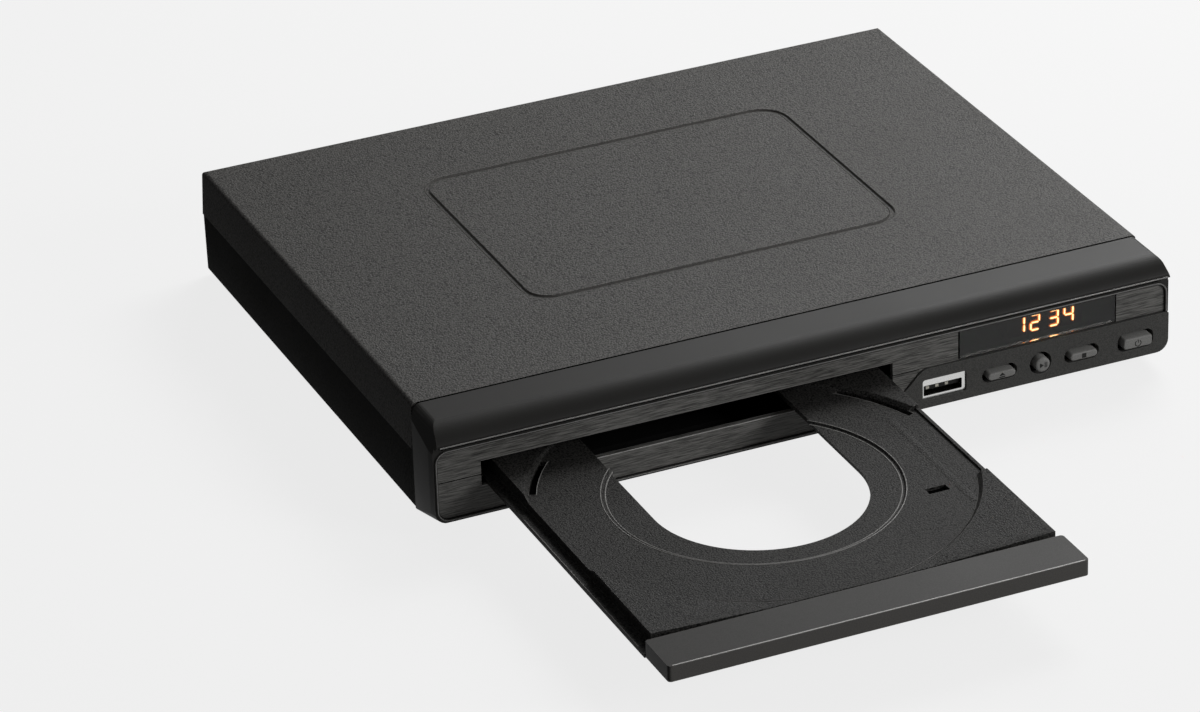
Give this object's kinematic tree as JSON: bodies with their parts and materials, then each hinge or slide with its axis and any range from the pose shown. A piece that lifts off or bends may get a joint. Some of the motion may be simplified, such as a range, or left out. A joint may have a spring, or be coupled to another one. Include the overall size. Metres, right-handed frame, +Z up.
{
  "type": "disc player with a motor-driven tray",
  "caption": "Slim tabletop disc player with its tray out: two-part case, curved front moulding, sliding disc tray, tilting disc drive, display window and push buttons.",
  "frame": {"origin": "centre of the case footprint, on the surface that the feet stand on", "axes": "+X to the right along the front, +Y from the front panel to the back, +Z up"},
  "size_m": [0.2274, 0.3114, 0.0347],
  "materials": {
    "base_plastic": "dark grey moulded plastic, fine grain",
    "lid_plastic": "dark grey moulded plastic, leather-like fine grain",
    "bezel_plastic": "dark grey moulded plastic, smooth satin",
    "brushed_panel": "dark grey panel with a brushed face",
    "plate_plastic": "dark grey plastic, fine spark grain",
    "smoked_window": "smoked clear plastic, polished",
    "black_plastic": "black moulded plastic",
    "lit_segments": "amber lit segments",
    "bright_metal": "tinned and polished",
    "circuit_board": "green solder resist",
    "phenolic_board": "brown phenolic board",
    "winding": "yellow insulating tape",
    "sleeve": "dark blue shrink sleeve",
    "heat_sink": "bare extruded aluminium",
    "black_rubber": "black rubber",
    "screw_steel": "zinc plated",
    "ribbon": "pale flat cable",
    "loader_plastic": "black moulded plastic",
    "motor_steel": "plated steel can",
    "brass": "turned brass",
    "white_gear": "white acetal",
    "tray_plastic": "dark grey plastic, coarse spark grain",
    "flap_plastic": "dark grey plastic, satin",
    "deck_steel": "plated sheet steel",
    "turntable_plastic": "black plastic with a rubber ring",
    "pickup_alloy": "dark die-cast carriage",
    "lens": "clear moulded lens",
    "puck_plastic": "pale acetal",
    "magnet": "sintered magnet",
    "button_plastic": "dark grey plastic, satin"
  },
  "bodies": {
    "case": {"bottom_shell": "base_plastic", "back_panel": "base_plastic", "top_cover": "lid_plastic", "front_bezel": "bezel_plastic", "upper_fascia": "brushed_panel", "lower_fascia": "brushed_panel", "end_fascia": "brushed_panel", "control_plate": "plate_plastic", "display_window": "smoked_window", "display_module": "black_plastic", "display_digits": "lit_segments", "usb_shell": "bright_metal", "usb_tongue": "black_plastic", "button_board": "circuit_board", "key_switches": "black_plastic", "main_board": "circuit_board", "decoder_chips": "black_plastic", "power_board": "phenolic_board", "transformer": "winding", "capacitors": "sleeve", "heat_sink": "heat_sink", "jack_block": "black_plastic", "jack_barrels": "bright_metal", "cord_bush": "black_rubber", "rubber_feet": "black_rubber", "case_screws": "screw_steel", "board_screws": "screw_steel", "ribbon_cable": "ribbon", "loader_frame": "loader_plastic", "loader_screws": "screw_steel", "loading_motor": "motor_steel", "drive_belt": "black_rubber", "clamp_bridge": "loader_plastic"},
    "tray": {"disc_tray": "tray_plastic", "tray_flap": "flap_plastic"},
    "drive_gear": {"drive_gear": "white_gear"},
    "pulley_gear": {"pulley_gear": "white_gear"},
    "motor_pulley": {"motor_pulley": "brass"},
    "cam": {"cam_slider": "white_gear"},
    "traverse": {"traverse_frame": "loader_plastic", "rubber_dampers": "black_rubber", "drive_deck": "deck_steel", "spindle_motor": "motor_steel", "guide_rods": "screw_steel", "sled_motor": "motor_steel"},
    "turntable": {"turntable": "turntable_plastic"},
    "lead_screw": {"lead_screw": "screw_steel"},
    "pickup": {"pickup_sled": "pickup_alloy", "objective_lens": "lens"},
    "clamper": {"clamp_puck": "puck_plastic", "clamp_magnet": "magnet"},
    "open_button": {"open_button": "button_plastic"},
    "play_button": {"play_button": "button_plastic"},
    "stop_button": {"stop_button": "button_plastic"},
    "power_button": {"power_button": "button_plastic"}
  },
  "joints": [
    {"name": "tray_slide", "type": "slide", "parent": "case", "child": "tray", "axis": [0, 1, 0], "range_m": [0, 0.1194]},
    {"name": "drive_gear_spin", "type": "hinge", "parent": "case", "child": "drive_gear", "pos_m": [0.0016, -0.0485, 0.013], "axis": [0, 0, 1], "range_deg": [0, 685.11]},
    {"name": "pulley_gear_spin", "type": "hinge", "parent": "case", "child": "pulley_gear", "pos_m": [0.01304, -0.06611, 0.009], "axis": [0, 0, 1], "range_deg": [-1711.28, 0]},
    {"name": "motor_spin", "type": "hinge", "parent": "case", "child": "motor_pulley", "pos_m": [0.0376, -0.0615, 0.009], "axis": [0, 0, 1], "range_deg": [-5473.89, 0]},
    {"name": "cam_slide", "type": "slide", "parent": "case", "child": "cam", "axis": [1, 0, 0], "range_m": [0, 0.014]},
    {"name": "traverse_tilt", "type": "hinge", "parent": "case", "child": "traverse", "pos_m": [-0.0374, 0.0665, 0.0118], "axis": [-1, 0, 0], "range_deg": [0, 2.6]},
    {"name": "turntable_spin", "type": "hinge", "parent": "traverse", "child": "turntable", "pos_m": [-0.0374, -0.01377, 0.00936], "axis": [0, -0.0454, 0.999], "continuous": true},
    {"name": "pickup_slide", "type": "slide", "parent": "traverse", "child": "pickup", "axis": [0, 0.999, 0.0454], "range_m": [0, 0.034]},
    {"name": "lead_screw_spin", "type": "hinge", "parent": "traverse", "child": "lead_screw", "pos_m": [-0.0139, 0.02861, 0.00848], "axis": [0, 0.999, 0.0454], "range_deg": [0, 6121]},
    {"name": "clamper_spin", "type": "hinge", "parent": "case", "child": "clamper", "pos_m": [-0.0374, -0.0138, 0.023], "axis": [0, 0, 1], "continuous": true},
    {"name": "open_press", "type": "slide", "parent": "case", "child": "open_button", "axis": [0, 1, 0], "range_m": [0, 0.001], "stiffness_N_per_m": 600, "springref_m": -0.0005},
    {"name": "play_press", "type": "slide", "parent": "case", "child": "play_button", "axis": [0, 1, 0], "range_m": [0, 0.001], "stiffness_N_per_m": 600, "springref_m": -0.0005},
    {"name": "stop_press", "type": "slide", "parent": "case", "child": "stop_button", "axis": [0, 1, 0], "range_m": [0, 0.001], "stiffness_N_per_m": 600, "springref_m": -0.0005},
    {"name": "power_press", "type": "slide", "parent": "case", "child": "power_button", "axis": [0, 1, 0], "range_m": [0, 0.001], "stiffness_N_per_m": 600, "springref_m": -0.0005}
  ],
  "couplings": [
    {"joint": "drive_gear_spin", "follows": "tray_slide", "rad_per_m": 100},
    {"joint": "pulley_gear_spin", "follows": "tray_slide", "rad_per_m": -250},
    {"joint": "motor_spin", "follows": "tray_slide", "rad_per_m": -800},
    {"joint": "traverse_tilt", "follows": "cam_slide", "rad_per_m": 3.2412},
    {"joint": "lead_screw_spin", "follows": "pickup_slide", "rad_per_m": 3141.6}
  ]
}
